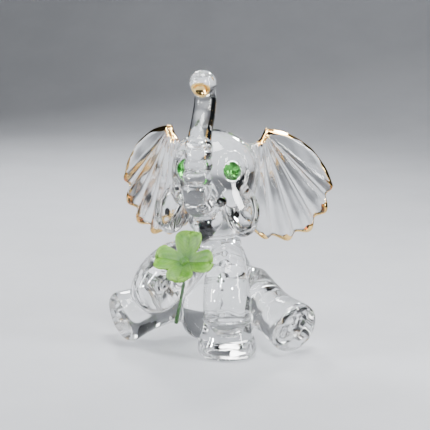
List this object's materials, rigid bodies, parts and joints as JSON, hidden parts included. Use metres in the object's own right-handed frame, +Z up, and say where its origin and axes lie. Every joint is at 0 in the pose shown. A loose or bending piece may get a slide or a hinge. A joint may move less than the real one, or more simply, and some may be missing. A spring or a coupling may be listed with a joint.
{
  "type": "glass animal figurine",
  "caption": "Seated baby elephant in clear crystal glass with a raised trunk, pleated ears edged in gold, green crystal eyes and a green clover; a shelf ornament that stands on its own.",
  "frame": {"origin": "on the resting surface, below the middle of the figurine's box", "axes": "+Z up, the elephant looks along -Y, and its own left side is +X"},
  "size_m": [0.0568, 0.0418, 0.0702],
  "materials": {
    "crystal_glass": "clear fire-polished crystal glass, smooth and slightly rippled",
    "gold_lustre": "thin hand-painted fired gold lustre with an uneven edge",
    "green_crystal": "deep green faceted crystal, polished",
    "silver_foil": "silvered foil backing behind the eye stones",
    "clover_green": "satin yellow-green enamel with darker veins",
    "stem_green": "satin dark-green enamel on wire"
  },
  "bodies": {
    "root": {"body": "crystal_glass", "neck": "crystal_glass", "head": "crystal_glass", "cheek_left": "crystal_glass", "cheek_right": "crystal_glass", "lower_jaw": "crystal_glass", "tusk_left": "crystal_glass", "tusk_right": "crystal_glass", "trunk": "crystal_glass", "trunk_tip": "crystal_glass", "trunk_tip_gold": "gold_lustre", "ear_left": "crystal_glass", "ear_right": "crystal_glass", "ear_left_gold_rim": "gold_lustre", "ear_right_gold_rim": "gold_lustre", "eye_left_foil": "silver_foil", "eye_right_foil": "silver_foil", "eye_left_crystal": "green_crystal", "eye_right_crystal": "green_crystal", "front_leg_left": "crystal_glass", "front_foot_left": "crystal_glass", "front_leg_right": "crystal_glass", "front_foot_right": "crystal_glass", "hind_leg_left": "crystal_glass", "hind_foot_left": "crystal_glass", "hind_leg_right": "crystal_glass", "hind_foot_right": "crystal_glass", "tail": "crystal_glass", "clover_leaf_top": "clover_green", "clover_leaf_left": "clover_green", "clover_leaf_bottom": "clover_green", "clover_leaf_right": "clover_green", "clover_centre": "clover_green", "clover_stem": "stem_green"}
  },
  "joints": []
}
